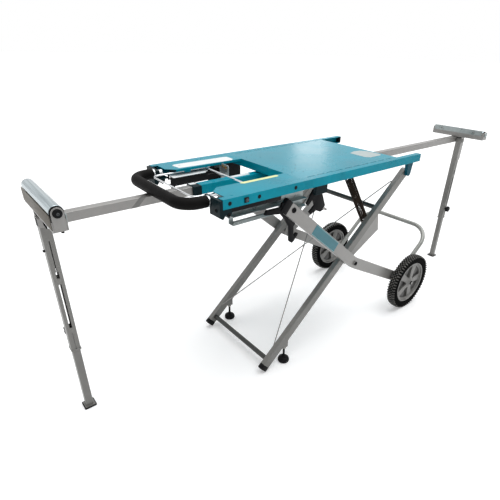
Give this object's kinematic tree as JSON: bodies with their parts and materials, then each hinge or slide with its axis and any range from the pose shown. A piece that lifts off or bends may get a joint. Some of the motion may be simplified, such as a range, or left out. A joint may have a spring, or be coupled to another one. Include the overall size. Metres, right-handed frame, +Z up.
{
  "type": "saw stand",
  "caption": "Folding mitre saw stand: a steel deck on a wheeled scissor frame, with a sliding roller support on its own telescoping leg at each end.",
  "frame": {"origin": "on the floor under the middle of the stand's overall box, standing open with both arms out", "axes": "+X along the deck from the handle to the wheels, +Y across it, +Z up"},
  "size_m": [2.374, 0.621, 0.8885],
  "materials": {
    "teal_paint": "satin powder coat",
    "silver_tube": "satin silver paint",
    "zinc": "zinc plated",
    "chrome_wire": "bright",
    "black_plastic": "matt",
    "dark_teal_plastic": "matt moulded",
    "grip_foam": "foam",
    "tyre_rubber": "matt",
    "rim_grey": "satin moulded",
    "spring_black": "oiled black"
  },
  "bodies": {
    "deck": {"assist_spring": "spring_black", "catch_block": "dark_teal_plastic", "deck_plate": "teal_paint", "far_fold_bracket": "teal_paint", "far_front_cap": "dark_teal_plastic", "far_rail": "teal_paint", "far_side_plate": "teal_paint", "far_slide_track": "zinc", "front_arm_sleeve": "teal_paint", "front_clamp_block": "dark_teal_plastic", "front_cross_channel": "teal_paint", "handle_grip": "grip_foam", "handle_tube": "zinc", "near_fold_bracket": "teal_paint", "near_front_cap": "dark_teal_plastic", "near_rail": "teal_paint", "near_side_plate": "teal_paint", "near_slide_track": "zinc", "rear_arm_sleeve": "teal_paint", "rear_clamp_block": "dark_teal_plastic", "rear_cross_channel": "teal_paint", "release_housing": "black_plastic"},
    "foot_frame": {"near_foot_leg": "silver_tube", "far_foot_leg": "silver_tube", "upper_cross_tube": "silver_tube", "lower_cross_tube": "silver_tube", "near_gusset": "zinc", "far_gusset": "zinc", "brace_wires": "zinc"},
    "wheel_frame": {"near_wheel_leg": "silver_tube", "far_wheel_leg": "silver_tube", "slider_cross_tube": "silver_tube", "near_slider_roller": "black_plastic", "far_slider_roller": "black_plastic", "stand_loop": "silver_tube"},
    "near_wheel": {"near_rim": "rim_grey", "near_tyre": "tyre_rubber"},
    "far_wheel": {"far_rim": "rim_grey", "far_tyre": "tyre_rubber"},
    "lock_lever_body": {"lock_lever": "black_plastic"},
    "near_levelling_foot_body": {"near_levelling_foot": "black_plastic"},
    "far_levelling_foot_body": {"far_levelling_foot": "black_plastic"},
    "catch_lever_body": {"catch_lever": "black_plastic"},
    "release_body": {"release_bail": "chrome_wire"},
    "front_arm_clamp_body": {"front_arm_clamp": "black_plastic"},
    "rear_arm_clamp_body": {"rear_arm_clamp": "black_plastic"},
    "front_arm": {"front_arm_tube": "silver_tube", "front_head_bracket": "zinc", "front_stop_plate": "zinc"},
    "front_roller_body": {"front_roller": "zinc"},
    "front_leg": {"front_leg_tube": "silver_tube"},
    "front_inner_leg_body": {"front_inner_leg": "silver_tube"},
    "front_leg_knob_body": {"front_leg_knob": "black_plastic"},
    "rear_arm": {"rear_arm_tube": "silver_tube", "rear_head_bracket": "zinc", "rear_stop_plate": "zinc"},
    "rear_roller_body": {"rear_roller": "zinc"},
    "rear_leg": {"rear_leg_tube": "silver_tube"},
    "rear_inner_leg_body": {"rear_inner_leg": "silver_tube"},
    "rear_leg_knob_body": {"rear_leg_knob": "black_plastic"}
  },
  "joints": [
    {"name": "fold", "type": "hinge", "parent": "deck", "child": "foot_frame", "pos_m": [0.325, 0, 0.76], "axis": [0, 1, 0], "range_deg": [0, 22], "deforming": ["assist_spring"]},
    {"name": "scissor", "type": "hinge", "parent": "foot_frame", "child": "wheel_frame", "pos_m": [-0.004, 0, 0.396], "axis": [0, 1, 0], "range_deg": [-40.2, 0]},
    {"name": "near_wheel_spin", "type": "hinge", "parent": "wheel_frame", "child": "near_wheel", "pos_m": [0.448, -0.2815, 0.154], "axis": [0, 1, 0], "continuous": true},
    {"name": "far_wheel_spin", "type": "hinge", "parent": "wheel_frame", "child": "far_wheel", "pos_m": [0.448, 0.2815, 0.154], "axis": [0, 1, 0], "continuous": true},
    {"name": "lock_lever_turn", "type": "hinge", "parent": "wheel_frame", "child": "lock_lever_body", "pos_m": [-0.454, -0.239, 0.766], "axis": [0, 1, 0], "range_deg": [0, 20]},
    {"name": "near_levelling_screw", "type": "slide", "parent": "foot_frame", "child": "near_levelling_foot_body", "axis": [0, 0, 1], "range_m": [-0.005, 0.012]},
    {"name": "far_levelling_screw", "type": "slide", "parent": "foot_frame", "child": "far_levelling_foot_body", "axis": [0, 0, 1], "range_m": [-0.005, 0.012]},
    {"name": "catch_turn", "type": "hinge", "parent": "deck", "child": "catch_lever_body", "pos_m": [-0.25, -0.2095, 0.776], "axis": [0, 1, 0], "range_deg": [0, 15], "stiffness_Nm_per_rad": 1, "springref_deg": -5.73},
    {"name": "release_pull", "type": "slide", "parent": "deck", "child": "release_body", "axis": [1, 0, 0], "range_m": [-0.02, 0], "stiffness_N_per_m": 200},
    {"name": "front_arm_clamp_turn", "type": "hinge", "parent": "deck", "child": "front_arm_clamp_body", "pos_m": [-0.6523, 0.0618, 0.7905], "axis": [0, 1, 0], "range_deg": [0, 60]},
    {"name": "rear_arm_clamp_turn", "type": "hinge", "parent": "deck", "child": "rear_arm_clamp_body", "pos_m": [0.2368, -0.008, 0.8093], "axis": [0, 0, 1], "range_deg": [0, 60]},
    {"name": "front_arm_retract", "type": "slide", "parent": "deck", "child": "front_arm", "axis": [1, 0, 0], "range_m": [0, 0.27]},
    {"name": "front_roller_spin", "type": "hinge", "parent": "front_arm", "child": "front_roller_body", "pos_m": [-1.164, 0.008, 0.869], "axis": [0, 1, 0], "continuous": true},
    {"name": "front_leg_fold", "type": "hinge", "parent": "front_arm", "child": "front_leg", "pos_m": [-1.164, 0.0703, 0.785], "axis": [0, 1, 0], "range_deg": [-82, 0]},
    {"name": "front_leg_shorten", "type": "slide", "parent": "front_leg", "child": "front_inner_leg_body", "axis": [0, 0, 1], "range_m": [0, 0.2]},
    {"name": "front_leg_knob_turn", "type": "hinge", "parent": "front_leg", "child": "front_leg_knob_body", "pos_m": [-1.164, 0.0703, 0.349], "axis": [0, 1, 0], "range_deg": [0, 180]},
    {"name": "rear_arm_retract", "type": "slide", "parent": "deck", "child": "rear_arm", "axis": [-1, 0, 0], "range_m": [0, 0.41]},
    {"name": "rear_roller_spin", "type": "hinge", "parent": "rear_arm", "child": "rear_roller_body", "pos_m": [1.164, -0.027, 0.8375], "axis": [0, 1, 0], "continuous": true},
    {"name": "rear_leg_fold", "type": "hinge", "parent": "rear_arm", "child": "rear_leg", "pos_m": [1.164, -0.0423, 0.785], "axis": [0, -1, 0], "range_deg": [-44, 0]},
    {"name": "rear_leg_shorten", "type": "slide", "parent": "rear_leg", "child": "rear_inner_leg_body", "axis": [0, 0, 1], "range_m": [0, 0.2]},
    {"name": "rear_leg_knob_turn", "type": "hinge", "parent": "rear_leg", "child": "rear_leg_knob_body", "pos_m": [1.164, -0.0423, 0.349], "axis": [0, 1, 0], "range_deg": [0, 180]}
  ],
  "couplings": [
    {"joint": "scissor", "follows": "fold", "ratio": -1.8226}
  ]
}
